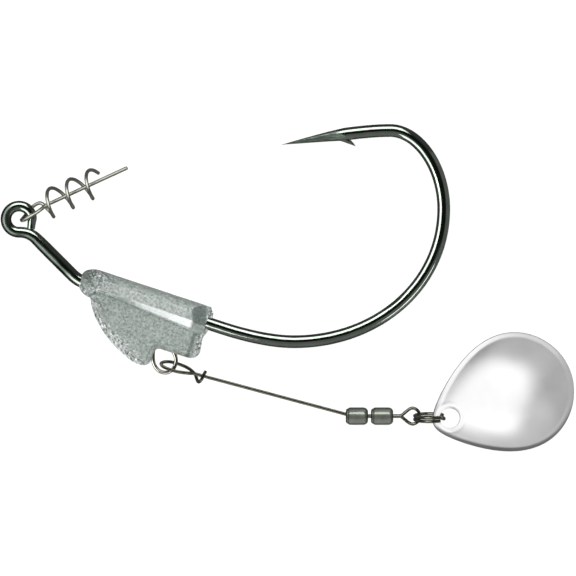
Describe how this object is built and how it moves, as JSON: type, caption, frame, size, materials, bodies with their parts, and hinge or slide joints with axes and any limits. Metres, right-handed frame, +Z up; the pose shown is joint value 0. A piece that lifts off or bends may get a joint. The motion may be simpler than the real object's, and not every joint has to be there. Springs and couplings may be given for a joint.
{
  "type": "weighted underspin fishing hook",
  "caption": "Wide-gap weighted swimbait hook with a screw-in bait keeper and a spinner blade trailing on a wire arm and barrel swivel.",
  "frame": {"origin": "centre of the bounding box on the surface that the lure lies on", "axes": "+X from the hook's eye towards the blade, +Y from the keel towards the hook's point, +Z up out of the plane of the hook"},
  "size_m": [0.0956, 0.0546, 0.0088],
  "materials": {
    "black_nickel": "polished black nickel plate on high-carbon steel wire",
    "cast_lead": "bare cast lead, dull with a fine grain and bright worn edges",
    "bright_nickel": "bright nickel-plated wire",
    "spring_steel": "satin stainless spring wire",
    "dark_wire": "stainless wire with a dark nickel plate",
    "smoked_nickel": "smoked nickel plate on brass",
    "silver_plate": "mirror silver plate on brass"
  },
  "bodies": {
    "hook_body": {"hook": "black_nickel", "keel_weight": "cast_lead", "hanger_loop": "bright_nickel"},
    "keeper": {"bait_keeper": "spring_steel"},
    "arm": {"wire_arm": "dark_wire"},
    "front_swivel": {"front_barrel": "smoked_nickel"},
    "link": {"link_pin": "dark_wire"},
    "rear_swivel": {"rear_barrel": "smoked_nickel"},
    "eye": {"swivel_eye": "dark_wire"},
    "ring": {"split_ring": "dark_wire"},
    "spinner": {"blade": "silver_plate"}
  },
  "joints": [
    {"name": "keeper_swing", "type": "hinge", "parent": "hook_body", "child": "keeper", "pos_m": [-0.04483, 0.01147, 0.0034], "axis": [0, 0, 1], "range_deg": [-30, 150]},
    {"name": "arm_swing", "type": "hinge", "parent": "hook_body", "child": "arm", "pos_m": [-0.02125, -0.0126, 0.0034], "axis": [0, 0, 1], "range_deg": [-120, 14]},
    {"name": "front_barrel_tilt", "type": "hinge", "parent": "arm", "child": "front_swivel", "pos_m": [0.01082, -0.02135, 0.0034], "axis": [0, 0, 1], "range_deg": [-31, 1]},
    {"name": "link_spin", "type": "hinge", "parent": "front_swivel", "child": "link", "pos_m": [0.01358, -0.02135, 0.0034], "axis": [1, 0, 0], "continuous": true},
    {"name": "rear_barrel_spin", "type": "hinge", "parent": "link", "child": "rear_swivel", "pos_m": [0.01358, -0.02135, 0.0034], "axis": [1, 0, 0], "continuous": true},
    {"name": "swivel_eye_spin", "type": "hinge", "parent": "rear_swivel", "child": "eye", "pos_m": [0.0175, -0.02135, 0.0034], "axis": [1, 0, 0], "continuous": true},
    {"name": "split_ring_swing", "type": "hinge", "parent": "eye", "child": "ring", "pos_m": [0.02195, -0.02135, 0.0034], "axis": [0, 1, 0], "range_deg": [-65, 80]},
    {"name": "blade_swing", "type": "hinge", "parent": "ring", "child": "spinner", "pos_m": [0.02601, -0.0216, 0.0034], "axis": [0, 0, 1], "range_deg": [-60, 25]}
  ]
}
